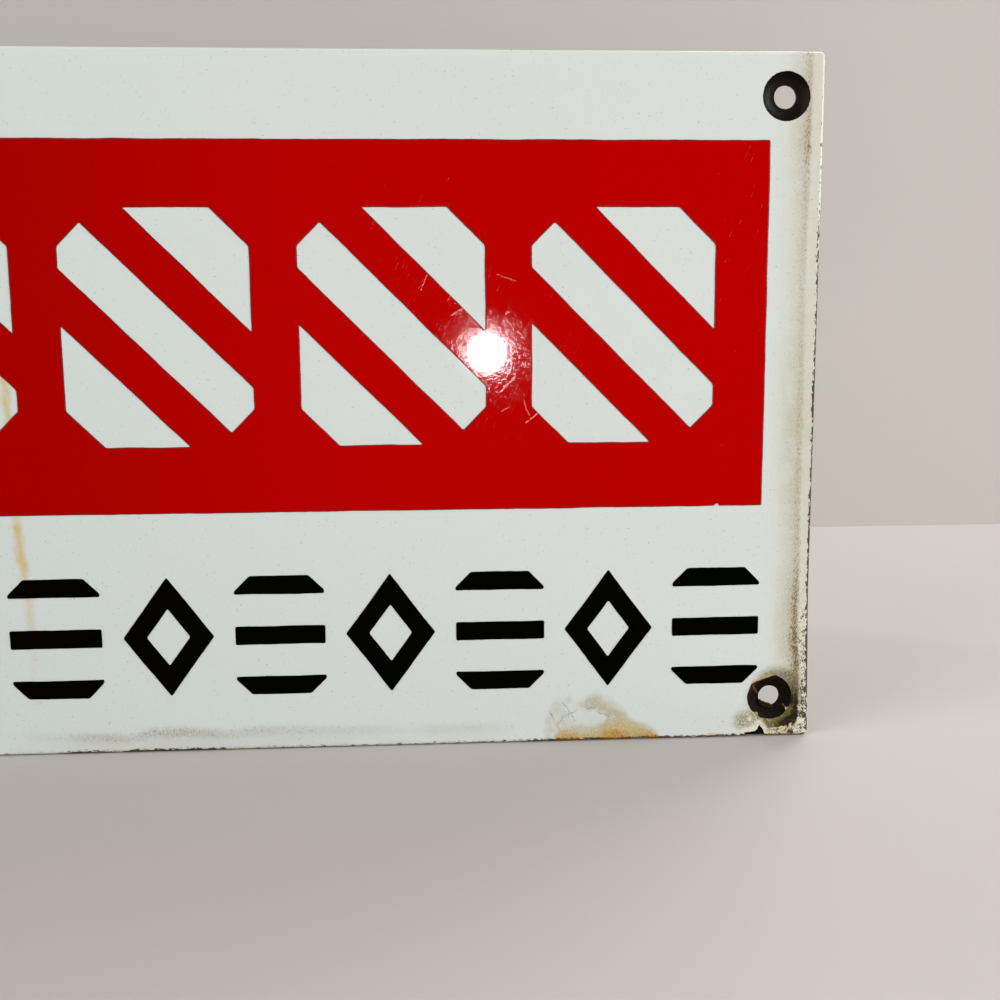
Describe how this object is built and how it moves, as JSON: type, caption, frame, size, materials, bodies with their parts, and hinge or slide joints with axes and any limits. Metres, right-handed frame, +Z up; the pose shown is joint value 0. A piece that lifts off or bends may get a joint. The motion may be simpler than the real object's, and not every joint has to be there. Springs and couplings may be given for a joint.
{
  "type": "enamelled warning sign",
  "caption": "Flat enamelled steel wall sign with rounded edges, dished corner holes, a red panel with white blocks and a row of black marks.",
  "frame": {"origin": "centre of the four fixing holes, on the flat back of the sheet", "axes": "+X along the sign's width to the viewer's right, +Z up the sign, +Y out of the back into the wall; the face looks towards -Y"},
  "size_m": [0.3556, 0.0021, 0.16],
  "materials": {
    "ground_coat": "steel in a dark fired ground coat, rusted where bare",
    "white_enamel": "glossy white porcelain enamel, stained along its edges",
    "red_enamel": "glossy red porcelain enamel with fine scratches",
    "black_enamel": "glossy black porcelain enamel"
  },
  "bodies": {
    "root": {"steel_sheet": "ground_coat", "white_coat": "white_enamel", "red_coat": "red_enamel", "black_coat": "black_enamel"}
  },
  "joints": []
}
